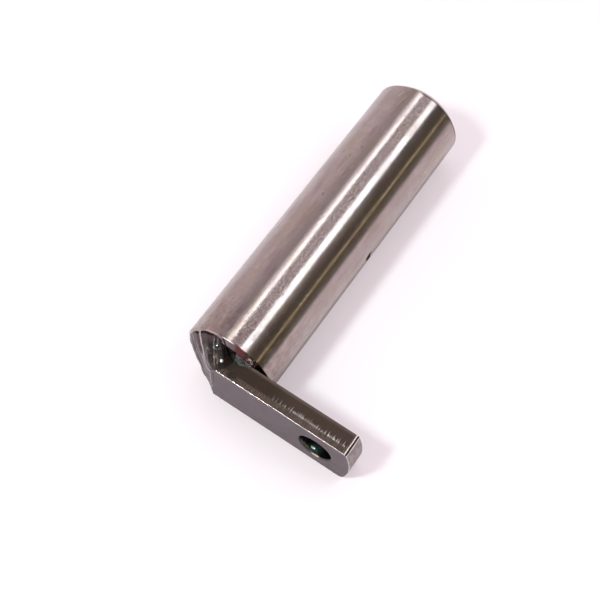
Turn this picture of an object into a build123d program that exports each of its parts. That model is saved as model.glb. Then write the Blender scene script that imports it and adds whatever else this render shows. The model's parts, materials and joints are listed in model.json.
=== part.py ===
from build123d import *
import os
from math import asin, atan2, cos, hypot, radians, sin, sqrt, tan

# Steering cylinder pin: a ground round pin with a flat lock tab welded on one end.
# The pin lies on its side along Y, with its centre at the origin.
# The tab points towards +X and droops until its tip touches what the pin lies on.

# Pin, in millimetres
pin_d = 30.0
pin_length = 110.0
tab_end_chamfer = 1.3
plain_end_chamfer = 2.0

# Grease drilling: a port in the plain end, a gallery to half way, and one outlet
port_core_d = 9.0
port_depth = 12.0
port_mouth = 0.7
gallery_d = 5.0
gallery_past_outlet = 1.5
outlet_d = 3.5
outlet_mouth = 0.3
drill_point_angle = 118.0

# Lock tab, measured along the tab from the pin's axis
tab_width = 20.0
tab_thickness = 7.0
tab_reach = 47.6
tab_back_lean = 1.6
tip_arc_r = 28.0
tip_corner_r = 2.0
tip_bevel = 0.4
rollover_r = 0.3
bolt_hole_d = 11.0
bolt_hole_reach = 35.8
bolt_hole_rollover_r = 0.5

# Weld bead round the tab's back end
bead_start_angle = 97.0
bead_ripples = 13
ripple_height = 0.25
foot_cover = 0.65
foot_stand = 0.15
crest_shy = 0.15
crest_stand = 0.5
crest_run = 0.8
bead_swell = 0.13
bead_levels = 5
weld_overlap = 1.2

# Root fillet that runs on from the bead beside the tab, low at first and then up to the face's edge
root_low_leg = 1.1
root_low_end = 2.3
root_peak = 3.8
root_peak_spread = 1.8
root_end = 9.4
root_end_leg = 0.4

pin_r = pin_d / 2
half_length = pin_length / 2
half_width = tab_width / 2


def tab_droop():
    """Angle below level, in radians, at which the tab's lower tip corner is as low as the pin."""
    arc_centre = tab_reach - tip_arc_r
    corner_v = half_width - tip_corner_r
    corner_u = arc_centre + sqrt((tip_arc_r - tip_corner_r) ** 2 - corner_v**2)
    return asin((pin_r - tip_corner_r) / hypot(corner_u, corner_v)) - atan2(corner_v, corner_u)


droop = tab_droop()
along_tab = Vector(cos(droop), 0, -sin(droop))

# The seat is the pin's end face: local X runs along the tab, Y across it, Z out of the pin
seat = Plane(origin=(0, -half_length, 0), x_dir=along_tab, z_dir=(0, -1, 0))
outlet_mouth_plane = Plane(origin=along_tab * pin_r, x_dir=(0, 1, 0), z_dir=along_tab)


def cone_depth(radius):
    """Length of a drill's point of the given radius."""
    return radius / tan(radians(drill_point_angle / 2))


# Pin: half section turned about its axis, then the grease outlet drilled from the side
port_core_r = port_core_d / 2
gallery_r = gallery_d / 2
gallery_end = -outlet_d / 2 - gallery_past_outlet
port_end = half_length - port_depth

with BuildPart() as pin_shaft:
    with BuildSketch(Plane.YZ):
        with BuildLine():
            Polyline(
                (-half_length, 0),
                (-half_length, pin_r - tab_end_chamfer),
                (-half_length + tab_end_chamfer, pin_r),
                (half_length - plain_end_chamfer, pin_r),
                (half_length, pin_r - plain_end_chamfer),
                (half_length, port_core_r + port_mouth),
                (half_length - port_mouth, port_core_r),
                (port_end, port_core_r),
                (port_end - cone_depth(port_core_r - gallery_r), gallery_r),
                (gallery_end, gallery_r),
                (gallery_end - cone_depth(gallery_r), 0),
                close=True,
            )
        make_face()
    revolve(axis=Axis.Y)
    with Locations(outlet_mouth_plane):
        CounterSinkHole(outlet_d / 2, outlet_d / 2 + outlet_mouth, depth=pin_r)

# Lock tab: sheared bar with an arched tip, a rounded lower corner and a bevelled upper one
tip_chord = tab_reach - tip_arc_r + sqrt(tip_arc_r**2 - half_width**2)

with BuildPart() as lock_tab:
    with BuildSketch(seat) as tab_outline:
        with BuildLine():
            Polyline(
                (tip_chord, -half_width),
                (-tab_back_lean / 2, -half_width),
                (tab_back_lean / 2, half_width),
                (tip_chord, half_width),
            )
            ThreePointArc((tip_chord, half_width), (tab_reach, 0), (tip_chord, -half_width))
        make_face()
        tip_corners = tab_outline.vertices().group_by(Axis.X)[-1].sort_by(Axis.Y)
        fillet(tip_corners[0], tip_corner_r)
        chamfer(tab_outline.vertices().group_by(Axis.Y)[-1].sort_by(Axis.X)[-1], tip_bevel)
        with Locations((bolt_hole_reach, 0)):
            Circle(bolt_hole_d / 2, mode=Mode.SUBTRACT)
    extrude(amount=tab_thickness)
    outer_face = lock_tab.faces().sort_by(Axis.Y)[0]
    hole_edge = outer_face.inner_wires()[0].edges()
    fillet(outer_face.outer_wire().edges().sort_by(Axis.X)[1:], rollover_r)
    fillet(hole_edge, bolt_hole_rollover_r)

# Weld bead: rippled outlines stacked from its foot on the pin's chamfer to its crest on the tab
foot_r = pin_r - tab_end_chamfer + foot_cover + foot_stand
crest_height = tab_thickness - crest_shy
crest_back = -tab_back_lean / 2 - crest_stand
crest_side = half_width + crest_stand

with BuildLine() as foot_path:
    CenterArc((0, 0), foot_r, bead_start_angle, 360 - 2 * bead_start_angle)
with BuildLine() as crest_path:
    Polyline(
        (crest_run, crest_side),
        (crest_back, crest_side),
        (crest_back, -crest_side),
        (crest_run, -crest_side),
    )


def bead_point(share, level):
    """Point on the bead's face: share of the way round it, and level from foot (0) to crest (1)."""
    inward = level - bead_swell * 4 * level * (1 - level)
    return (foot_path.wire() @ share) * (1 - inward) + (crest_path.wire() @ share) * inward


root_peak_leg = sqrt((pin_r - tab_end_chamfer) ** 2 - root_peak**2) - half_width

# Root fillet: distance along the tab, leg up the pin's face and leg out along the tab, section by section
root_sections = (
    (crest_back, root_low_leg, root_low_leg),
    (root_low_end, root_low_leg, root_low_leg),
    (root_peak, root_peak_leg, root_peak_spread),
    (root_end, root_end_leg, root_end_leg),
)

with BuildPart() as weld_bead:
    for step in range(bead_levels):
        level = step / (bead_levels - 1)
        height = -foot_cover + (crest_height + foot_cover) * level
        with BuildSketch(seat.offset(height)):
            with BuildLine():
                rim = [bead_point(i / bead_ripples, level) for i in range(bead_ripples + 1)]
                for start, end in zip(rim[:-1], rim[1:]):
                    SagittaArc(start, end, ripple_height)
                Polyline(
                    rim[-1],
                    (crest_run + weld_overlap, -half_width + weld_overlap),
                    (crest_run + weld_overlap, half_width - weld_overlap),
                    rim[0],
                )
            make_face()
    loft()
    for side in (1, -1):
        for along, leg, spread in root_sections:
            root_origin = seat.from_local_coords((along, 0, 0))
            with BuildSketch(Plane(origin=root_origin, x_dir=seat.z_dir, z_dir=-along_tab)):
                with BuildLine():
                    Polyline(
                        (-weld_overlap, side * (half_width - weld_overlap)),
                        (spread, side * (half_width - weld_overlap)),
                        (spread, side * half_width),
                        (0, side * (half_width + leg)),
                        (-weld_overlap, side * (half_width + leg)),
                        close=True,
                    )
                make_face()
        loft(ruled=True)
    add(pin_shaft.part, mode=Mode.SUBTRACT)
    add(lock_tab.part, mode=Mode.SUBTRACT)

os.makedirs("parts", exist_ok=True)
pin_shaft.part.label = "pin_shaft"
export_step(pin_shaft.part, "parts/pin_shaft.step")
lock_tab.part.label = "lock_tab"
export_step(lock_tab.part, "parts/lock_tab.step")
weld_bead.part.label = "weld_bead"
export_step(weld_bead.part, "parts/weld_bead.step")
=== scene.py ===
import json
import math
from collections import namedtuple

import bmesh
import bpy
from mathutils import Matrix, Vector, noise


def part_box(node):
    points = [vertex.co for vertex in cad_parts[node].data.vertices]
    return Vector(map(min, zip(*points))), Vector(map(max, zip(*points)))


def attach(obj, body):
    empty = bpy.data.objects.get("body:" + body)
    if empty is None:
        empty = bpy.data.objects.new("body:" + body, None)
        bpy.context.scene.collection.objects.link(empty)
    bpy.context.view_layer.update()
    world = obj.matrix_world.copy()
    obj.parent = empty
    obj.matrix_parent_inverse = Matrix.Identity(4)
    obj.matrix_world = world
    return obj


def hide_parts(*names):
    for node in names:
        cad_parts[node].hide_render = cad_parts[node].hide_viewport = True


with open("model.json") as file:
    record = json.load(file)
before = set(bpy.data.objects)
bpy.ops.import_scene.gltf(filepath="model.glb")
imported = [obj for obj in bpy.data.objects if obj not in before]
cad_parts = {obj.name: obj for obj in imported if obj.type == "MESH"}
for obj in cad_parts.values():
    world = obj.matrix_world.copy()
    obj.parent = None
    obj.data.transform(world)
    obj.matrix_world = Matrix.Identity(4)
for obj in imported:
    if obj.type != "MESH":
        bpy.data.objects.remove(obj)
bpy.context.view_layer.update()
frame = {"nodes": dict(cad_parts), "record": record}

# Steering cylinder pin: a ground round pin lying on its side, with a flat lock tab welded on its near end.
# The pin lies along Y. The tab points towards +X and droops until its tip touches the floor.
# Objects, lamps and the studio are in metres. Materials and the weld's shape are in millimetres.

MM = 0.001

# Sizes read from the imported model, in metres
pin_low, pin_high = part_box("pin_shaft")
tab_low, tab_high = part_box("lock_tab")
mounts = {mount["name"]: mount for mount in frame["record"]["mounts"]}
floor_z = pin_low.z
tab_seat_y = tab_high.y
bolt_hole_centre = Vector(mounts["bolt_hole"]["pos_m"])
tab_droop = math.atan2(-bolt_hole_centre.z, bolt_hole_centre.x)

# The same in millimetres
pin_r = pin_high.x / MM
near_end = pin_low.y / MM
far_end = pin_high.y / MM
tab_thickness = (tab_high.y - tab_low.y) / MM
tab_reach = tab_high.x / math.cos(tab_droop) / MM
hole_reach = math.hypot(bolt_hole_centre.x, bolt_hole_centre.z) / MM
hole_r = mounts["bolt_hole"]["dims"]["r_mm"]

# Chamfers of the pin's ends, the place along the tab where its tip corner's bevel starts, and how far the
# tab's back edge leans for each millimetre across it
near_chamfer = 1.3
far_chamfer = 2.0
bevel_start = 45.35
back_lean = 0.08

# Tear line on the tab's sheared sides: how far it waves, its wavelength, and where it comes nearest the seat
tear_wave = 0.12
tear_wavelength = 32
tear_nearest = 27

# Distance between the drill's rings in the bolt hole
drill_feed = 0.55

# Weld, on the tab's axes. Each rib runs from its foot on the pin's end to its crest on the tab, bulges out
# by its swell, and has ripples of its own height.
Rib = namedtuple("Rib", "foot_along foot_across crest_along crest_across crest_height swell ripple")
weld_ribs = (
    Rib(8.9, 10.5, 8.9, 9.9, 0.2, 0.0, 0.0),
    Rib(7.3, 10.9, 7.1, 9.9, 1.1, 0.05, 0.0),
    Rib(5.7, 11.9, 5.6, 9.9, 1.7, 0.1, 0.0),
    Rib(3.9, 13.2, 3.6, 9.9, 1.5, 0.1, 0.0),
    Rib(2.4, 11.0, 3.2, 9.9, 1.0, 0.0, 0.0),
    Rib(0.6, 12.6, 3.7, 9.9, 1.9, -0.3, 0.0),
    Rib(-1.0, 14.1, 3.7, 9.9, 2.8, 0.0, 0.02),
    Rib(-2.7, 14.35, 3.2, 9.9, 4.4, 0.2, 0.03),
    Rib(-4.25, 14.0, 2.2, 9.9, 5.8, 0.35, 0.04),
    Rib(-5.75, 13.45, 1.4, 9.9, 6.7, 0.45, 0.05),
    Rib(-8.2, 12.1, 0.6, 9.9, 6.9, 0.5, 0.06),
    Rib(-9.6, 10.7, -0.1, 9.0, 6.9, 0.75, 0.03),
    Rib(-10.4, 9.7, -0.85, 8.0, 6.93, 0.60, 0.0),
    Rib(-11.3, 8.8, -0.9, 6.9, 6.93, 0.95, 0.0),
    Rib(-12.5, 6.9, -0.9, 5.2, 6.93, 0.95, 0.05),
    Rib(-14.1, 2.8, -0.9, 2.2, 6.93, 0.9, 0.14),
    Rib(-14.3, -1.5, -0.9, -1.2, 6.93, 0.55, 0.17),
    Rib(-13.4, -5.5, -0.9, -4.7, 6.93, 0.2, 0.18),
    Rib(-11.1, -9.1, -0.9, -7.9, 6.9, 0.1, 0.18),
    Rib(-8.3, -11.8, -0.7, -9.8, 6.7, 0.2, 0.18),
    Rib(-4.7, -13.6, 0.0, -9.9, 6.3, 0.5, 0.15),
    Rib(-1.6, -14.2, 1.0, -9.9, 5.3, 0.4, 0.12),
    Rib(1.6, -13.2, 2.4, -9.9, 3.6, 0.2, 0.04),
    Rib(5.0, -12.2, 5.0, -9.9, 1.8, 0.1, 0.02),
    Rib(9.4, -10.3, 9.4, -9.9, 0.3, 0.0, 0.0),
)

# The foot is sunk into the pin, and the crest stays just below the tab's outer face
weld_sink = 0.12
weld_top = 6.96
weld_waves = 24

# Lumps on the weld: place along, across and out from the seat, radius and height. The first ones carry
# painted glints.
weld_lumps = (
    ((1.70, 11.0, 3.7), 1.10, 0.44),
    ((-2.14, 12.92, 1.2), 0.40, 0.13),
    ((-4.55, 11.3, 2.95), 0.45, 0.26),
    ((-3.2, 11.3, 3.7), 0.40, 0.18),
    ((-5.9, -5.2, 4.0), 1.6, 0.40),
)
glinting_lumps = 3

# Hidden lines that close the weld: one inside the tab, and one under the pin's end. The second climbs a
# little on its way, so that it doesn't meet itself where it turns back.
land_across = 9.7
land_inset = 0.25
root_depth = 1.2
root_climb = 0.6

# Columns of the weld's mesh along it, and levels from foot to crest. Points nearer to each other than the
# merge distance become one.
weld_columns = 360
weld_levels = 70
merge_distance = 0.0005

# Black card beside the pin, in metres
card_x = 0.20
card_height = 0.28
card_length = 0.9
card_middle_y = 0.15

# Strip lamps along the pin: name, angle from +X towards +Z in degrees, distance from the pin's axis,
# middle, size across and along, radiance and colour
strip_lamps = (
    ("right_strip", 60.0, 1.1, 0.55, (0.28, 0.9), 3.9, "#e7f9ff"),
    ("left_strip", 99.0, 1.1, 0.55, (0.175, 0.9), 3.25, "#f4fcff"),
    ("overhead_strip", 80.0, 1.1, 0.55, (0.20, 0.9), 0.17, "#fff2f4"),
    ("low_strip", 19.7, 0.19, 0.1, (0.003, 0.6), 5.8, "#d6cca6"),
)

# Ends of a range of shares that goes on to the last
no_end = (2, 3)


def linear(hex_colour):
    """Linear RGBA of an sRGB hex colour such as #a1b2c3."""
    shares = [int(hex_colour[i:i + 2], 16) / 255 for i in (1, 3, 5)]
    return [s / 12.92 if s <= 0.04045 else ((s + 0.055) / 1.055) ** 2.4 for s in shares] + [1.0]


def add(tree, kind, inputs=None, **settings):
    """Adds a node with its settings, each input either set to a value or linked to another node's socket."""
    node = tree.nodes.new(kind)
    for name, value in settings.items():
        setattr(node, name, value)
    for key, value in (inputs or {}).items():
        if isinstance(value, bpy.types.NodeSocket):
            tree.links.new(value, node.inputs[key])
        else:
            node.inputs[key].default_value = value
    return node


def new_material(name):
    """Empty node material, and its tree."""
    material = bpy.data.materials.new(name)
    material.use_nodes = True
    material.node_tree.nodes.clear()
    return material, material.node_tree


def overlap(tree, *masks):
    """Mask that is the product of others. A plain number weakens it."""
    product = masks[0]
    for mask in masks[1:]:
        product = add(tree, "ShaderNodeMath", {0: product, 1: mask}, operation="MULTIPLY").outputs[0]
    return product


def above(tree, value, start, full):
    """Mask that rises smoothly from 0 at start to 1 at full."""
    rise = add(tree, "ShaderNodeMapRange", {
        "Value": value,
        "From Min": start,
        "From Max": full,
    }, interpolation_type="SMOOTHSTEP")
    return rise.outputs[0]


def below(tree, value, fade, end):
    """Mask that falls smoothly from 1 at fade to 0 at end."""
    return above(tree, value, end, fade)


def band(tree, value, start, full, fade, end):
    """Mask that rises from 0 at start to 1 at full, and falls from 1 at fade to 0 at end."""
    return overlap(tree, above(tree, value, start, full), below(tree, value, fade, end))


def streaks(tree, place, cell, low, high, detail=2.0):
    """Mask of uneven blotches. Their usual size along each axis of place is cell, in the units of place."""
    scaled = add(tree, "ShaderNodeVectorMath", {
        0: place,
        1: [1 / size for size in cell],
    }, operation="MULTIPLY")
    clouds = add(tree, "ShaderNodeTexNoise", {"Vector": scaled.outputs[0], "Scale": 1.0, "Detail": detail})
    return above(tree, clouds.outputs[0], low, high)


def spot(tree, place, centre, half_sizes):
    """Mask of one soft round mark, its centre and half sizes on the axes of place."""
    away = add(tree, "ShaderNodeVectorMath", {0: place, 1: centre}, operation="SUBTRACT")
    scaled = add(tree, "ShaderNodeVectorMath", {
        0: away.outputs[0],
        1: [1 / size for size in half_sizes],
    }, operation="MULTIPLY")
    distance = add(tree, "ShaderNodeVectorMath", {0: scaled.outputs[0]}, operation="LENGTH")
    return below(tree, distance.outputs["Value"], 0.6, 1.3)


def either(tree, masks):
    """Mask that is the strongest of others."""
    strongest = 0.0
    for mask in masks:
        strongest = add(tree, "ShaderNodeMath", {0: strongest, 1: mask}, operation="MAXIMUM").outputs[0]
    return strongest


def layered(tree, base, layers):
    """Colour built up in layers. Each layer is a mask and the colour that it lays over those below."""
    colour = linear(base)
    for mask, over in layers:
        mixed = add(tree, "ShaderNodeMix", {0: mask, 6: colour, 7: linear(over)}, data_type="RGBA")
        colour = mixed.outputs[2]
    return colour


def relief(tree, layers):
    """Normal of bumps laid one on another. Each layer is a mask and its height in millimetres."""
    normal = None
    for mask, height in layers:
        inputs = {"Height": mask, "Distance": height * MM}
        if normal is not None:
            inputs["Normal"] = normal
        normal = add(tree, "ShaderNodeBump", inputs).outputs[0]
    return normal


def turned(tree, place, degrees):
    """Coordinates turned about their third axis."""
    turn = add(tree, "ShaderNodeMapping", {"Vector": place, "Rotation": (0, 0, math.radians(degrees))})
    return turn.outputs[0]


def object_place(tree):
    """Object coordinates in millimetres, as a vector and as X, Y and Z."""
    source = add(tree, "ShaderNodeTexCoord")
    place = add(tree, "ShaderNodeVectorMath", {
        0: source.outputs["Object"],
        1: [1 / MM] * 3,
    }, operation="MULTIPLY").outputs[0]
    return place, *add(tree, "ShaderNodeSeparateXYZ", {0: place}).outputs


TabPlace = namedtuple("TabPlace", "place along out across tipward outward upward")


def tab_place(tree):
    """Coordinates in millimetres along the tab, out from its seat and up across it, as a vector and one by
    one, and how far the surface faces along each."""
    source = add(tree, "ShaderNodeTexCoord")
    place = add(tree, "ShaderNodeMapping", {
        "Vector": source.outputs["Object"],
        "Location": (0, tab_seat_y / MM, 0),
        "Rotation": (0, -tab_droop, 0),
        "Scale": (1 / MM, -1 / MM, 1 / MM),
    })
    facing = add(tree, "ShaderNodeMapping", {
        "Vector": source.outputs["Normal"],
        "Rotation": (0, -tab_droop, 0),
        "Scale": (1, -1, 1),
    }, vector_type="VECTOR")
    places = add(tree, "ShaderNodeSeparateXYZ", {0: place.outputs[0]}).outputs
    facings = add(tree, "ShaderNodeSeparateXYZ", {0: facing.outputs[0]}).outputs
    return TabPlace(place.outputs[0], *places, *facings)


def pin_skin(tree, place, x, y, z):
    """Coordinates round the pin, along it and out from its axis."""
    turn = add(tree, "ShaderNodeMath", {0: x, 1: z}, operation="ARCTAN2")
    around = add(tree, "ShaderNodeMath", {0: turn.outputs[0], 1: pin_r}, operation="MULTIPLY")
    spoke = add(tree, "ShaderNodeVectorMath", {0: place, 1: (1, 0, 1)}, operation="MULTIPLY")
    radius = add(tree, "ShaderNodeVectorMath", {0: spoke.outputs[0]}, operation="LENGTH")
    return add(tree, "ShaderNodeCombineXYZ", {
        "X": around.outputs[0],
        "Y": y,
        "Z": radius.outputs["Value"],
    }).outputs[0]


def pin_barrel(tree):
    """Mask of the pin's round side, without its end faces and chamfers."""
    facing = add(tree, "ShaderNodeTexCoord").outputs["Normal"]
    facing_y = add(tree, "ShaderNodeSeparateXYZ", {0: facing}).outputs["Y"]
    endwise = add(tree, "ShaderNodeMath", {0: facing_y}, operation="ABSOLUTE")
    return below(tree, endwise.outputs[0], 0.3, 0.5)


def pin_nicks(tree, place):
    """Mask of a few dark nicks in the pin's upper side, each placed across it and along it."""
    return either(tree, [
        spot(tree, place, (across, along, math.sqrt(pin_r ** 2 - across ** 2)), (0.2, 0.35, 0.4))
        for across, along in ((-4.87, 20.37), (-3.14, 24.66), (-8.0, 21.5), (-3.76, 3.38))
    ])


def near_chamfer_layers(tree, place, x, from_end):
    """Colours of the near chamfer: dull, then scorched red by the weld's heat, then dark brown and near black
    towards +X beside the tab, with painted shade of an undercut beside the weld, painted glints on the rim's
    outer edge, and a painted highlight along the rim in places."""
    on_chamfer = below(tree, from_end, near_chamfer + 0.15, near_chamfer + 0.25)
    slant = add(tree, "ShaderNodeMath", {0: from_end, 1: 1.5, 2: x}, operation="MULTIPLY_ADD").outputs[0]
    painted_rim_glints = overlap(
        tree,
        streaks(tree, place, (0.45, 0.45, 0.45), 0.56, 0.66),
        band(tree, x, 8.0, 8.8, 10.6, 11.4),
        below(tree, from_end, 1.6, 1.9),
    )
    faint_rim_highlight = overlap(
        tree,
        band(tree, x, -7.5, -6.0, -3.0, -1.5),
        band(tree, from_end, 1.02, 1.12, 1.36, 1.50),
    )
    rim_painted_highlight = overlap(
        tree,
        band(tree, x, -0.9, -0.2, 3.1, 3.8),
        band(tree, from_end, 1.10, 1.18, 1.34, 1.42),
    )
    return (
        (overlap(tree, on_chamfer, above(tree, x, -1.0, 0.5)), "#75686b"),
        # Painted shade of an undercut beside the weld's foot
        (overlap(tree, on_chamfer, band(tree, slant, 0.95, 1.20, 1.70, 1.95)), "#2e2526"),
        (overlap(tree, on_chamfer, above(tree, x, 3.6, 5.0)), "#663f40"),
        (overlap(tree, on_chamfer, above(tree, x, 6.4, 8.0)), "#463733"),
        (overlap(tree, on_chamfer, above(tree, x, 9.4, 11.0)), "#241b19"),
        # Pale specks on the rim's outer edge: painted glints
        (painted_rim_glints, "#cdc2be"),
        # Painted highlight along the rim, faint on the left and full in the middle
        (overlap(tree, faint_rim_highlight, 0.6), "#c9bab9"),
        (rim_painted_highlight, "#efe6e4"),
    )


def ground_steel():
    """Pin: bearing steel, cylindrically ground. Bright and slightly mauve, with long soft reflections."""
    material, tree = new_material("ground_bearing_steel")
    place, x, y, z = object_place(tree)
    skin = pin_skin(tree, place, x, y, z)
    barrel = pin_barrel(tree)
    from_end = add(tree, "ShaderNodeMath", {0: y, 1: near_end}, operation="SUBTRACT").outputs[0]

    # Real grinding lines are some 0.02 mm apart. They are drawn 0.3 mm apart, about as fine as shows.
    grinding = streaks(tree, skin, (14, 0.3, 0.3), 0.35, 0.75)
    clouds = streaks(tree, skin, (5, 9, 5), 0.35, 0.65)
    tan_wipes = streaks(tree, skin, (3.5, 16, 5), 0.46, 0.66)
    mauve_wipes = streaks(tree, skin, (2.6, 11, 4), 0.52, 0.70)
    grit = streaks(tree, skin, (0.5, 0.9, 0.5), 0.5, 0.8)
    pits = streaks(tree, skin, (1.1, 0.9, 1.1), 0.86, 0.90, detail=0.0)

    # Scratches lie nearly along the pin, in patches
    scratched = overlap(tree, barrel, streaks(tree, skin, (6, 15, 6), 0.46, 0.60))
    handling = overlap(tree, scratched, streaks(tree, turned(tree, skin, 13), (0.3, 4.5, 3), 0.60, 0.72))
    rubbing = overlap(tree, scratched, streaks(tree, turned(tree, skin, 7), (0.3, 6.0, 3), 0.62, 0.74))

    # Grain of a strip on top that the bush has worn, as fine bumps, with pale specks painted on as glints
    # between the two long reflections
    grain_and_painted_glints = overlap(
        tree,
        barrel,
        band(tree, x, 1.4, 2.2, 5.0, 5.8),
        above(tree, z, 0, 1),
        streaks(tree, skin, (0.26, 0.32, 0.26), 0.42, 0.66, detail=0.0),
    )
    heat_tint = overlap(
        tree,
        band(tree, from_end, -15, 3, 5, 23),
        streaks(tree, skin, (1.3, 2.2, 1.3), 0.32, 0.74),
    )
    far_corner = far_end - far_chamfer
    # Dark line along the far chamfer's edge: painted shade, for the dark that the edge reflects
    far_rim_painted_shade = overlap(
        tree,
        above(tree, x, -1, 3),
        band(tree, y, far_corner - 0.5, far_corner - 0.3, far_corner, far_corner + 0.1),
    )
    colour = layered(tree, "#ab9f9d", (
        (clouds, "#a59795"),
        (overlap(tree, tan_wipes, 0.8), "#a4978b"),
        (overlap(tree, mauve_wipes, 0.7), "#9a8688"),
        (overlap(tree, grinding, 0.5), "#9c8e8c"),
        (overlap(tree, grit, 0.3), "#857876"),
        # Pale specks of the worn strip: painted glints
        (overlap(tree, grain_and_painted_glints, 0.7), "#d3c8c6"),
        (overlap(tree, handling, 0.6), "#d6cccb"),
        (overlap(tree, rubbing, 0.6), "#75696a"),
        (overlap(tree, heat_tint, 0.6), "#826d69"),
        (pits, "#5a4f4c"),
        (pin_nicks(tree, place), "#574b47"),
        (far_rim_painted_shade, "#5a5250"),
        *near_chamfer_layers(tree, place, x, from_end),
    ))
    waviness = streaks(tree, skin, (1.2, 2.2, 2), 0.2, 0.8)
    scuffs = add(tree, "ShaderNodeMath", {0: handling, 1: 0.3, 2: grit}, operation="MULTIPLY_ADD").outputs[0]
    roughness = add(tree, "ShaderNodeMapRange", {"Value": clouds, "To Min": 0.20, "To Max": 0.25})
    tangent = add(tree, "ShaderNodeTangent", direction_type="RADIAL", axis="Y")
    steel = add(tree, "ShaderNodeBsdfPrincipled", {
        "Base Color": colour,
        "Metallic": 1.0,
        "Roughness": roughness.outputs[0],
        "Anisotropic": 0.9,
        "Anisotropic Rotation": 0.25,
        "Normal": relief(tree, ((waviness, 0.0006), (scuffs, 0.0028), (grain_and_painted_glints, 0.003))),
        "Tangent": tangent.outputs[0],
    })
    add(tree, "ShaderNodeOutputMaterial", {"Surface": steel.outputs[0]})
    return material


def shear_marks(tree, tab, cut_side):
    """Masks of what the shear left on the cut sides: bright marks that end at a waving tear line, faint lines
    behind them near the tip, and the torn outer third. Each mark fills part of a cell along the side, and the
    cells are crowded towards the tip."""
    crowding = add(tree, "ShaderNodeMath", {0: tab.along, 1: 1 / tab_reach}, operation="MULTIPLY")
    crowded = add(tree, "ShaderNodeMath", {0: crowding.outputs[0], 1: 1.7}, operation="POWER")
    cells = add(tree, "ShaderNodeTexVoronoi", {
        "W": crowded.outputs[0],
        "Scale": 74.0,
        "Randomness": 1.0,
    }, voronoi_dimensions="1D", feature="F1")
    length_lot, strength_lot, _ = add(tree, "ShaderNodeSeparateColor", {0: cells.outputs["Color"]}).outputs
    narrow = below(tree, cells.outputs["Distance"], 0.12, 0.24)

    phase = add(tree, "ShaderNodeMath", {
        0: tab.along,
        1: 2 * math.pi / tear_wavelength,
        2: -2 * math.pi * tear_nearest / tear_wavelength,
    }, operation="MULTIPLY_ADD")
    sway = add(tree, "ShaderNodeMath", {0: phase.outputs[0]}, operation="COSINE")
    from_tear = add(tree, "ShaderNodeMath", {
        0: sway.outputs[0],
        1: tear_wave,
        2: tab.out,
    }, operation="MULTIPLY_ADD").outputs[0]
    inner_end = add(tree, "ShaderNodeMapRange", {"Value": length_lot, "To Min": 4.4, "To Max": 2.9})
    reach = add(tree, "ShaderNodeMapRange", {
        "Value": from_tear,
        "From Min": inner_end.outputs[0],
        "From Max": 4.6,
    })
    strength = add(tree, "ShaderNodeMapRange", {"Value": strength_lot, "From Min": 0.10, "From Max": 0.60})
    off_tip = overlap(tree, cut_side, below(tree, tab.tipward, 0.4, 0.6))
    marks = overlap(
        tree,
        off_tip,
        narrow,
        reach.outputs[0],
        below(tree, from_tear, 4.75, 5.05),
        strength.outputs[0],
        above(tree, tab.along, 17, 31),
    )
    faint_lines = overlap(
        tree,
        off_tip,
        narrow,
        above(tree, tab.along, 32, 46),
        band(tree, tab.out, 0.4, 2.5, 4.4, 5.0),
    )
    torn = overlap(tree, cut_side, above(tree, from_tear, 4.5, 5.2))
    return marks, faint_lines, torn


def tip_bevel(tree, tab, cut_side):
    """Masks of the small bevel on the tip's upper corner, and of the worn lines above and below it."""
    bevel = overlap(
        tree,
        band(tree, tab.tipward, 0.3, 0.5, 0.80, 0.88),
        band(tree, tab.upward, 0.3, 0.5, 0.85, 0.92),
        above(tree, tab.along, bevel_start - 0.2, bevel_start),
    )
    line_above = band(tree, tab.along, bevel_start - 0.4, bevel_start - 0.3, bevel_start, bevel_start + 0.05)
    line_below = overlap(
        tree,
        above(tree, tab.tipward, 0.80, 0.88),
        band(tree, tab.across, 9.2, 9.3, 9.6, 9.7),
    )
    lines = overlap(
        tree,
        cut_side,
        either(tree, (line_above, line_below)),
        streaks(tree, tab.place, (0.8, 1.4, 0.8), 0.30, 0.45),
    )
    return bevel, lines


def distance_from_hole(tree, tab):
    """Distance from the bolt hole's axis."""
    away = add(tree, "ShaderNodeVectorMath", {0: tab.place, 1: (hole_reach, 0, 0)}, operation="SUBTRACT")
    flat = add(tree, "ShaderNodeVectorMath", {0: away.outputs[0], 1: (1, 0, 1)}, operation="MULTIPLY")
    return add(tree, "ShaderNodeVectorMath", {0: flat.outputs[0]}, operation="LENGTH").outputs["Value"]


def drill_rings(tree, tab, wall):
    """Mask of the rings that the drill left in the hole's wall."""
    feed = add(tree, "ShaderNodeMath", {0: tab.out, 1: 2 * math.pi / drill_feed}, operation="MULTIPLY")
    ring = add(tree, "ShaderNodeMath", {0: feed.outputs[0]}, operation="SINE")
    return overlap(tree, wall, ring.outputs[0])


def hole_layers(tree, tab, from_hole, wall, painted_wall_glint):
    """Colours of the bolt hole: a wall painted near black as shade, a lip painted paler as light, a green
    patch and a painted glint, and a dull rim with a painted highlight at one place."""
    rim = overlap(
        tree,
        band(tree, from_hole, hole_r, hole_r + 0.04, hole_r + 0.5, hole_r + 0.8),
        band(tree, tab.outward, 0.02, 0.10, 0.97, 0.995),
    )
    # Outer part of the wall painted paler: painted light where light reaches into the hole
    painted_lit_lip = overlap(
        tree,
        wall,
        above(tree, tab.out, 5.5, 6.3),
        band(tree, tab.along, 0, hole_reach - 8, hole_reach - 1.5, hole_reach),
    )
    green = overlap(tree, wall, spot(tree, tab.place, (hole_reach - 1.3, 5.4, -5.35), (1.5, 1.1, 1.2)))
    # Painted highlight where the hole's rim catches the light
    painted_rim_shine = overlap(tree, rim, spot(tree, tab.place, (hole_reach + 0.4, 6.9, -5.6), (1.3, 0.8, 0.8)))
    return (
        # Wall painted near black: painted shade inside the hole
        (wall, "#191b1a"),
        (painted_lit_lip, "#a09a98"),
        (green, "#24453a"),
        (painted_wall_glint, "#dff2ea"),
        (rim, "#5b5456"),
        (painted_rim_shine, "#c4bdb0"),
    )


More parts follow.
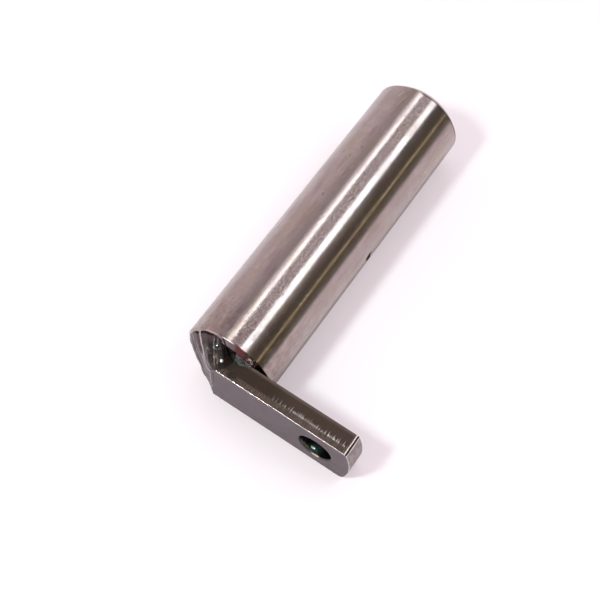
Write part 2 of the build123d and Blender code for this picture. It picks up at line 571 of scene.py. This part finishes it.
def cut_side_layers(tree, tab, cut_side, mottle, tears, faint_lines, torn):
    """Colours of the tab's cut sides: brown, darker towards the weld, paler at the seat and torn outside,
    with a brighter tip, and scorch marks and a patch of slag near the weld."""
    drag = streaks(tree, tab.place, (0.5, 5, 30), 0.45, 0.75)
    tear_lights = streaks(tree, tab.place, (0.3, 0.7, 30), 0.58, 0.72)
    tip_face = overlap(tree, cut_side, above(tree, tab.tipward, 0.5, 0.8))
    scorched = overlap(
        tree,
        cut_side,
        streaks(tree, tab.place, (1.2, 1.2, 1.2), 0.50, 0.72),
        below(tree, tab.along, 12, 20),
    )
    slag = spot(tree, tab.place, (5.7, 5.5, 10), (1.7, 0.9, 0.8))
    return (
        (cut_side, "#463a34"),
        (overlap(tree, cut_side, below(tree, tab.along, 16, 26)), "#3a312a"),
        (overlap(tree, cut_side, below(tree, tab.along, 4, 8), 0.8), "#302f2a"),
        (overlap(tree, cut_side, below(tree, tab.out, 0.2, 1.3), 0.8), "#6a5954"),
        (overlap(tree, cut_side, drag, 0.25), "#3c322c"),
        (overlap(tree, faint_lines, 0.35), "#64534b"),
        (torn, "#5c4e49"),
        (overlap(tree, torn, tears, 0.7), "#40362f"),
        (overlap(tree, torn, tear_lights, 0.6), "#8d7c76"),
        (tip_face, "#8b8182"),
        (overlap(tree, tip_face, mottle, 0.6), "#766b6c"),
        (overlap(tree, tip_face, tears, 0.5), "#b0a4a5"),
        (overlap(tree, scorched, 0.6), "#4c302b"),
        (overlap(tree, slag, 0.75), "#20241f"),
    )


def worn_outer_edge(tree, tab, from_hole):
    """Mask of the tab's outer edge, worn bright along its top and tip."""
    upward_or_tipward = either(tree, (tab.upward, tab.tipward))
    return overlap(
        tree,
        band(tree, tab.outward, 0.15, 0.30, 0.80, 0.92),
        above(tree, tab.out, tab_thickness - 0.28, tab_thickness - 0.20),
        above(tree, upward_or_tipward, 0.1, 0.3),
        streaks(tree, tab.place, (1.1, 0.6, 0.6), 0.30, 0.46),
        above(tree, from_hole, hole_r + 0.7, hole_r + 1.1),
    )


def sheared_plate():
    """Tab: hot rolled plate, sheared to shape. Dull mauve-grey faces and dark brown cut sides, whose
    outer third is torn rough below a line of bright shear marks. Its outer edges are worn bright."""
    material, tree = new_material("sheared_rolled_plate")
    tab = tab_place(tree)
    flatness = add(tree, "ShaderNodeMath", {0: tab.outward}, operation="ABSOLUTE")
    cut_side = below(tree, flatness.outputs[0], 0.90, 0.97)
    marks, faint_lines, torn = shear_marks(tree, tab, cut_side)
    tears = streaks(tree, tab.place, (0.35, 1.6, 30), 0.40, 0.66)
    bevel, bevel_lines = tip_bevel(tree, tab, cut_side)
    from_hole = distance_from_hole(tree, tab)
    wall = overlap(tree, cut_side, below(tree, from_hole, hole_r + 0.02, hole_r + 0.1))
    # Painted glint on the hole's lower wall
    painted_wall_glint = overlap(tree, wall, spot(tree, tab.place, (hole_reach - 1.3, 5.4, -5.35), (0.75, 0.35, 0.6)))
    worn_edge = worn_outer_edge(tree, tab, from_hole)
    edge_nick = overlap(tree, worn_edge, spot(tree, tab.place, (20.3, 6.9, 9.9), (0.5, 0.8, 0.8)), 0.7)

    # The mill grain is really about 0.05 mm. It is drawn 0.4 mm wide, so that it shows.
    grain = streaks(tree, tab.place, (0.4, 0.4, 0.4), 0.40, 0.72)
    mottle = streaks(tree, tab.place, (4, 4, 4), 0.35, 0.65)
    mill_scale = streaks(tree, tab.place, (9, 9, 9), 0.50, 0.70)
    colour = layered(tree, "#665a60", (
        (mottle, "#6c6066"),
        (overlap(tree, mill_scale, 0.7), "#5c5b5b"),
        (overlap(tree, grain, 0.5), "#544c4d"),
        *cut_side_layers(tree, tab, cut_side, mottle, tears, faint_lines, torn),
        (marks, "#fff4f2"),
        *hole_layers(tree, tab, from_hole, wall, painted_wall_glint),
        (worn_edge, "#d6c9c9"),
        (edge_nick, "#6a5954"),
        (bevel, "#4a3d38"),
        (bevel_lines, "#e2d8d4"),
    ))

    # Greys stand for roughness, from 0.46 on the plain faces down to 0.11 in the hole's painted glint
    roughness = layered(tree, "#b5b5b5", (
        (marks, "#b3b3b3"),
        (worn_edge, "#8c8c8c"),
        (bevel_lines, "#8c8c8c"),
        (wall, "#8c8c8c"),
        (painted_wall_glint, "#5e5e5e"),
    ))
    normal = relief(tree, (
        (marks, 0.10),
        (overlap(tree, torn, tears), 0.03),
        (drill_rings(tree, tab, wall), 0.03),
        (grain, 0.008),
    ))
    steel = add(tree, "ShaderNodeBsdfPrincipled", {
        "Base Color": colour,
        "Metallic": 1.0,
        "Roughness": roughness,
        "Normal": normal,
    })
    add(tree, "ShaderNodeOutputMaterial", {"Surface": steel.outputs[0]})
    return material


WeldPlace = namedtuple("WeldPlace", "place wrapped round_tab up_side past_ridge")


def weld_place(tree):
    """Coordinates of the weld: the tab's, and the shares of the way round the tab and up from the foot. Half
    way round is the ridge between the top, which faces up, and the back. Past_ridge follows the ridge's
    uneven line, which leans over the top near the foot."""
    place = tab_place(tree).place
    wrapped = add(tree, "ShaderNodeUVMap", uv_map="round_and_up").outputs[0]
    round_tab, up_side, _ = add(tree, "ShaderNodeSeparateXYZ", {0: wrapped}).outputs
    lean = add(tree, "ShaderNodeMapRange", {
        "Value": up_side,
        "From Min": 0.42,
        "From Max": 0.56,
        "To Min": 0.022,
        "To Max": -0.005,
    })
    leaning = add(tree, "ShaderNodeMath", {0: round_tab, 1: lean.outputs[0]}, operation="ADD")
    past_ridge = add(tree, "ShaderNodeMath", {
        0: streaks(tree, place, (1.8, 1.8, 1.8), 0.3, 0.7),
        1: 0.010,
        2: leaning.outputs[0],
    }, operation="MULTIPLY_ADD").outputs[0]
    return WeldPlace(place, wrapped, round_tab, up_side, past_ridge)


def patch(tree, weld, round_shares, up_shares):
    """Mask of part of the weld, between shares of the way round the tab and of the way up from the foot."""
    return overlap(tree, band(tree, weld.round_tab, *round_shares), band(tree, weld.up_side, *up_shares))


def weld_top_layers(tree, weld, rust, stain, pulls, lightened_low_side, painted_bead_glints):
    """Colours of the weld's top: near black, with brown and paler patches, painted shade in a hollow and a
    pocket, a low side painted lighter, and painted glints on beads.
    """
    # Painted shade in the hollow beside the ridge, where the weld reflects dark
    painted_shade_hollow = patch(tree, weld, (0.320, 0.340, 0.385, 0.405), (0.40, 0.48, *no_end))
    shoulder = patch(tree, weld, (0.34, 0.37, *no_end), (0.11, 0.15, 0.24, 0.36))
    near_ridge = patch(tree, weld, (0.395, 0.42, *no_end), (0.12, 0.20, 0.44, 0.56))
    # Painted shade in the pocket between the weld and the pin's end
    shaded_pocket = patch(tree, weld, (0.20, 0.225, 0.285, 0.315), (0.24, 0.32, 0.50, 0.62))
    combed = overlap(
        tree,
        streaks(tree, weld.wrapped, (0.007, 0.2, 1), 0.42, 0.60),
        band(tree, weld.past_ridge, 0.43, 0.45, 0.49, 0.50),
        band(tree, weld.up_side, 0.36, 0.44, 0.82, 0.88),
    )
    return (
        (stain, "#1f1d1c"),
        (overlap(tree, rust, 0.6), "#482f2d"),
        (overlap(tree, pulls, 0.4), "#5d5957"),
        (overlap(tree, shoulder, 0.5), "#66595b"),
        (overlap(tree, near_ridge, 0.55), "#645f5c"),
        (overlap(tree, painted_shade_hollow, 0.6), "#251d1d"),
        (overlap(tree, painted_shade_hollow, rust, 0.8), "#4c3534"),
        (lightened_low_side, "#423c37"),
        (overlap(tree, combed, 0.8), "#9a9290"),
        (shaded_pocket, "#141211"),
        # Painted glints on the bright beads
        (painted_bead_glints, "#f4f0ec"),
    )


def weld_back_layers(tree, weld, back, stain, pulls):
    """Colours of the weld's back: mauve-grey, lighter beside the ridge, with a shaded patch further round."""
    oxide = streaks(tree, weld.place, (3.2, 3.2, 3.2), 0.46, 0.60)
    beside_ridge = overlap(
        tree,
        band(tree, weld.past_ridge, 0.500, 0.510, 0.545, 0.575),
        above(tree, weld.up_side, 0.44, 0.56),
    )
    shaded = patch(tree, weld, (0.555, 0.600, 0.64, 0.74), (0.22, 0.38, 0.50, 0.76))
    return (
        (back, "#67585c"),
        (overlap(tree, back, stain, 0.6), "#57494c"),
        (overlap(tree, back, oxide, 0.6), "#4d484a"),
        (overlap(tree, back, pulls, 0.4), "#877a7e"),
        (beside_ridge, "#988b90"),
        (overlap(tree, shaded, 0.85), "#3b393a"),
    )


def weld_facet_layers(tree, weld, facet, rust, fine):
    """Colours of the flat green-grey start of the weld, beside the tab, with flecks at its thin end."""
    blotch = streaks(tree, turned(tree, weld.place, 20), (1.8, 0.7, 0.7), 0.44, 0.64)
    flecks = overlap(
        tree,
        streaks(tree, weld.place, (0.4, 0.4, 0.4), 0.60, 0.72),
        below(tree, weld.round_tab, 0.04, 0.07),
    )
    return (
        (facet, "#747673"),
        (overlap(tree, facet, rust), "#5c6463"),
        (overlap(tree, facet, blotch, 0.85), "#323533"),
        (overlap(tree, facet, fine, 0.4), "#3a3c3b"),
        (flecks, "#e6e0de"),
    )


def weld_edge_layers(tree, weld, back, toe_highlight):
    """Colours of the weld's edges: painted shade at the toe, a pale crest, a painted highlight along the
    ridge, and a painted highlight line at the toe.
    """
    # Painted shade along the weld's toe
    shaded_toe = patch(tree, weld, (0.345, 0.37, 0.56, 0.60), (0.02, 0.05, 0.13, 0.18))
    # Painted highlight along the weld's ridge
    ridge_highlight = overlap(
        tree,
        band(tree, weld.past_ridge, 0.484, 0.495, 0.505, 0.516),
        below(tree, weld.up_side, 0.50, 0.72),
    )
    return (
        (shaded_toe, "#1d1718"),
        (overlap(tree, back, above(tree, weld.up_side, 0.86, 0.91)), "#a4979c"),
        (above(tree, weld.up_side, 0.956, 0.960), "#665a60"),
        (ridge_highlight, "#c2b4b8"),
        (toe_highlight, "#f7f1ef"),
    )


def weld_bead_glints(tree, weld):
    """Mask of the painted glint on each of the first lumps, a little behind its middle."""
    return either(tree, [
        spot(tree, weld.place, (along - 0.62 * size, out, across), [0.45 * size] * 3)
        for (along, across, out), size, _ in weld_lumps[:glinting_lumps]
    ])


def weld_metal():
    """Bead: as-welded steel under a thin glassy oxide. Near black and glossy on top, mauve-grey behind."""
    material, tree = new_material("as_welded_steel")
    weld = weld_place(tree)
    pulls = streaks(tree, weld.wrapped, (0.009, 0.26, 1), 0.52, 0.68)
    stain = streaks(tree, weld.place, (1.2, 1.2, 1.2), 0.35, 0.65)
    rust = streaks(tree, weld.place, (1.7, 1.7, 1.7), 0.50, 0.68)
    fine = streaks(tree, weld.place, (0.35, 0.35, 0.35), 0.40, 0.70)
    painted_bead_glints = weld_bead_glints(tree, weld)
    back = above(tree, weld.past_ridge, 0.498, 0.512)
    facet = below(tree, weld.round_tab, 0.195, 0.225)
    # Low side painted lighter, as painted light against the dark that it reflects
    lightened_low_side = patch(tree, weld, (0.20, 0.24, 0.38, 0.44), (0.66, 0.86, *no_end))
    climb = add(tree, "ShaderNodeMath", {
        0: weld.up_side,
        1: 0.267,
        2: weld.round_tab,
    }, operation="MULTIPLY_ADD").outputs[0]
    # Painted highlight line along the weld's toe, with a real bump under it
    toe_highlight = overlap(
        tree,
        band(tree, climb, 0.298, 0.303, 0.310, 0.315),
        band(tree, weld.up_side, 0.04, 0.07, 0.18, 0.21),
    )
    colour = layered(tree, "#353130", (
        *weld_top_layers(tree, weld, rust, stain, pulls, lightened_low_side, painted_bead_glints),
        *weld_back_layers(tree, weld, back, stain, pulls),
        (overlap(tree, fine, 0.4), "#4b4545"),
        *weld_facet_layers(tree, weld, facet, rust, fine),
        *weld_edge_layers(tree, weld, back, toe_highlight),
    ))

    # Greys stand for roughness, from 0.46 on the low side down to 0.22 on the beads' painted glints
    roughness = layered(tree, "#a6a6a6", (
        (pulls, "#949494"),
        (painted_bead_glints, "#808080"),
        (lightened_low_side, "#b5b5b5"),
        (facet, "#acacac"),
    ))
    steel = add(tree, "ShaderNodeBsdfPrincipled", {
        "Base Color": colour,
        "Metallic": 1.0,
        "Roughness": roughness,
        "Normal": relief(tree, ((toe_highlight, 0.15), (fine, 0.012))),
    })
    add(tree, "ShaderNodeOutputMaterial", {"Surface": steel.outputs[0]})
    return material


def white_paper():
    """Floor: white paper. It takes shadows, and adds its own white for the camera and for reflections. Under
    the pin it adds less to reflections, a painted shade that only reflections see, which gives the pin its
    dark lower edge."""
    material, tree = new_material("white_paper")
    _, x, y, _ = object_place(tree)
    shade_under_pin = overlap(
        tree,
        band(tree, x, -8, -4, 16.5, 20),
        band(tree, y, near_end, near_end + 4, far_end - 2, far_end + 2),
    )
    open_floor = add(tree, "ShaderNodeMapRange", {"Value": shade_under_pin, "To Min": 1.0, "To Max": 0.2})
    path = add(tree, "ShaderNodeLightPath")
    seen = either(tree, (
        path.outputs["Is Camera Ray"],
        overlap(tree, path.outputs["Is Glossy Ray"], open_floor.outputs[0]),
    ))
    glow = add(tree, "ShaderNodeEmission", {
        "Color": linear("#fff2f8"),
        "Strength": overlap(tree, seen, 0.285),
    })
    paper = add(tree, "ShaderNodeBsdfDiffuse", {"Color": linear("#d7d1d4")})
    both = add(tree, "ShaderNodeAddShader", {0: paper.outputs[0], 1: glow.outputs[0]})
    add(tree, "ShaderNodeOutputMaterial", {"Surface": both.outputs[0]})
    return material


def card_glow():
    """Black card, with the faint light that spills on it: white high up on its near part, warm grey low down,
    and darkest high up at its far end."""
    material, tree = new_material("black_card")
    _, _, y, z = object_place(tree)
    rise = add(tree, "ShaderNodeMapRange", {"Value": z, "From Min": 100, "From Max": 250}).outputs[0]
    colour = layered(tree, "#655f52", (
        (overlap(tree, rise, above(tree, y, 150, 200)), "#3c3830"),
        (overlap(tree, rise, rise, band(tree, y, -120, 130, 140, 190)), "#f7efe9"),
        (overlap(tree, below(tree, z, 10, 60), 0.7), "#8a8378"),
    ))
    glow = add(tree, "ShaderNodeEmission", {"Color": colour, "Strength": 1.0})
    add(tree, "ShaderNodeOutputMaterial", {"Surface": glow.outputs[0]})
    return material


def studio_world():
    """Plain white to the camera. To everything else a pale studio, dimmer overhead, and slightly pink."""
    world = bpy.data.worlds.new("studio")
    bpy.context.scene.world = world
    world.use_nodes = True
    tree = world.node_tree
    tree.nodes.clear()
    towards = add(tree, "ShaderNodeTexCoord").outputs["Generated"]
    height = add(tree, "ShaderNodeSeparateXYZ", {0: towards}).outputs["Z"]
    studio = add(tree, "ShaderNodeMapRange", {
        "Value": height,
        "From Min": 0.48,
        "From Max": 0.78,
        "To Min": 0.99,
        "To Max": 0.565,
    })
    for_camera = add(tree, "ShaderNodeLightPath").outputs["Is Camera Ray"]
    background = add(tree, "ShaderNodeBackground", {
        "Color": layered(tree, "#fff2f5", ((for_camera, "#ffffff"),)),
        "Strength": either(tree, (studio.outputs[0], for_camera)),
    })
    add(tree, "ShaderNodeOutputWorld", {"Surface": background.outputs[0]})


def lamp(name, place, size, radiance, hex_colour):
    """Rectangular area lamp that faces the origin. Its size is across and along Y."""
    data = bpy.data.lights.new(name, "AREA")
    data.shape = "RECTANGLE"
    data.size, data.size_y = size
    data.energy = radiance * math.pi * data.size * data.size_y
    data.color = linear(hex_colour)[:3]
    obj = bpy.data.objects.new(name, data)
    obj.location = place
    obj.rotation_euler = Vector(place).to_track_quat("Z", "Y").to_euler()
    bpy.context.scene.collection.objects.link(obj)
    return obj


def strip_lamp(name, degrees, distance, middle_y, size, radiance, hex_colour):
    """Lamp that runs along the pin and faces its axis, turned about it from +X towards +Z."""
    angle = math.radians(degrees)
    place = (math.cos(angle) * distance, middle_y, math.sin(angle) * distance)
    strip = lamp(name, place, size, radiance, hex_colour)
    strip.rotation_euler = (0, math.pi / 2 - angle, 0)


def new_object(name, shape, material):
    """Object of a finished bmesh and its material. It sits at the origin."""
    mesh = bpy.data.meshes.new(name)
    shape.to_mesh(mesh)
    shape.free()
    mesh.materials.append(material)
    obj = bpy.data.objects.new(name, mesh)
    bpy.context.scene.collection.objects.link(obj)
    return obj


def build_floor():
    """Sheet of paper that the pin lies on, far wider than the picture."""
    shape = bmesh.new()
    bmesh.ops.create_grid(shape, x_segments=1, y_segments=1, size=3.0)
    bmesh.ops.translate(shape, verts=shape.verts, vec=(0, 0, floor_z))
    floor = new_object("floor", shape, white_paper())


def build_card():
    """Upright card on the tab's side that puts the dark band on the pin. Only reflections see it."""
    shape = bmesh.new()
    bmesh.ops.create_grid(shape, x_segments=1, y_segments=1, size=0.5)
    bmesh.ops.scale(shape, verts=shape.verts, vec=(card_height, card_length, 1))
    bmesh.ops.transform(shape, verts=shape.verts, matrix=Matrix.Rotation(math.pi / 2, 4, "Y"))
    bmesh.ops.translate(shape, verts=shape.verts, vec=(card_x, card_middle_y, floor_z + card_height / 2))
    card = new_object("black_card", shape, card_glow())
    card.visible_camera = False
    card.visible_diffuse = False
    card.visible_shadow = False
    card.visible_transmission = False


def rib_at(share):
    """Rib at a share of the way along the weld, on smooth curves through the listed ribs."""
    last = len(weld_ribs) - 1
    index = min(int(share * last), last - 1)
    part = share * last - index
    neighbours = [weld_ribs[min(max(index + step, 0), last)] for step in (-1, 0, 1, 2)]
    return Rib(*(
        b + 0.5 * part * (c - a + part * (2 * a - 5 * b + 4 * c - d + part * (3 * (b - c) + d - a)))
        for a, b, c, d in zip(*neighbours)
    ))


def pin_end_height(along, across):
    """Height of the pin's end over the seat: level on its face, and falling at 45 degrees on its chamfer."""
    return min(0, pin_r - near_chamfer - math.hypot(along, across))


def weld_point(share, level):
    """Point of the weld's skin on the tab's axes. Level runs from the foot, 0, to the crest, 1."""
    rib = rib_at(share)
    foot_height = pin_end_height(rib.foot_along, rib.foot_across) - weld_sink
    foot = Vector((rib.foot_along, rib.foot_across, foot_height))
    crest = Vector((rib.crest_along, rib.crest_across, rib.crest_height))
    chord = crest - foot
    outward = (foot + crest) / 2 - weld_root(share)
    outward = (outward - outward.project(chord)).normalized()
    turn = math.pi * level
    skin = foot + chord * (1 - math.cos(turn)) / 2 + outward * rib.swell * math.sin(turn)

    # Curved ripples that wander, coarse and fine roughness, and lumps
    wave = math.cos(share * weld_waves * 2 * math.pi + 1.2 * math.cos(turn) + 2 * noise.noise(skin / 4))
    rough = 0.13 * noise.noise(skin / 1.6) + 0.04 * noise.noise(skin / 0.6)
    for centre, radius, height in weld_lumps:
        rough += height * math.exp(-((skin - Vector(centre)).length / radius) ** 2)
    skin += outward * (rib.ripple * wave + rough) * math.sin(turn) ** 0.5
    skin.z = min(skin.z, weld_top)
    return skin


def weld_land(share):
    """Point just inside the tab, level with the weld's crest."""
    rib = rib_at(share)
    across = min(max(rib.crest_across, -land_across), land_across)
    return Vector((max(rib.crest_along, back_lean * across + land_inset), across, rib.crest_height))


def weld_root(share):
    """Point inside the metal, in the corner that the weld fills."""
    rib = rib_at(share)
    return Vector((rib.crest_along * 0.9 + 0.6, rib.crest_across * 0.93, -root_depth))


def weld_row_point(share, row):
    """Point in a row of the weld's mesh. The rows run up its skin, then inside the tab, under the pin's end
    and back to the foot."""
    if row <= weld_levels:
        return weld_point(share, row / weld_levels)
    if row == weld_levels + 1:
        return weld_land(share)
    if row == weld_levels + 2:
        return weld_root(share) + Vector((0, 0, root_climb * share))
    return weld_point(share, 0)


def tab_to_frame():
    """Placement of points on the tab's axes, in millimetres, in the part's frame."""
    cosine = math.cos(tab_droop)
    sine = math.sin(tab_droop)
    seat = Matrix(((cosine, sine, 0), (0, 0, -1), (-sine, cosine, 0))).to_4x4()
    return Matrix.Translation((0, tab_seat_y, 0)) @ seat @ Matrix.Scale(MM, 4)


def build_weld():
    """Weld: a skin of ribs round the tab's back end, closed through the metal that it covers."""
    rows = weld_levels + 3
    shape = bmesh.new()
    shape.loops.layers.uv.new("round_and_up")
    bmesh.ops.create_grid(shape, x_segments=weld_columns, y_segments=rows, size=0.5, calc_uvs=True)
    for vertex in shape.verts:
        vertex.co = weld_row_point(vertex.co.x + 0.5, round((vertex.co.y + 0.5) * rows))
    bmesh.ops.remove_doubles(shape, verts=shape.verts, dist=merge_distance)
    bmesh.ops.holes_fill(shape, edges=shape.edges)
    bmesh.ops.transform(shape, verts=shape.verts, matrix=tab_to_frame())
    bmesh.ops.recalc_face_normals(shape, faces=shape.faces)
    for face in shape.faces:
        face.smooth = True
    weld = new_object("weld", shape, weld_metal())
    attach(weld, "root")
    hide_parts("weld_bead")


def build_camera():
    """Camera of the reference view: a fitted place, turn and lens, for a square frame."""
    data = bpy.data.cameras.new("camera")
    data.lens = 66.87
    data.sensor_width = 36.0
    data.shift_x = 0.0178
    data.shift_y = -0.0065
    data.clip_start = 0.01
    camera = bpy.data.objects.new("camera", data)
    camera.location = (0.117622, -0.155865, 0.294489)
    camera.rotation_euler = [math.radians(a) for a in (30.287, 4.187, 34.420)]
    bpy.context.scene.collection.objects.link(camera)
    bpy.context.scene.camera = camera


build_camera()
build_floor()
studio_world()
build_card()
lamp("key", (-0.10, -0.28, 0.46), (0.08, 0.08), 74, "#eefffa")
for settings in strip_lamps:
    strip_lamp(*settings)

build_weld()

for node, finish in (("pin_shaft", ground_steel), ("lock_tab", sheared_plate)):
    mesh = frame["nodes"][node].data
    mesh.materials.clear()
    mesh.materials.append(finish())

bpy.context.scene.view_settings.view_transform = "Standard"
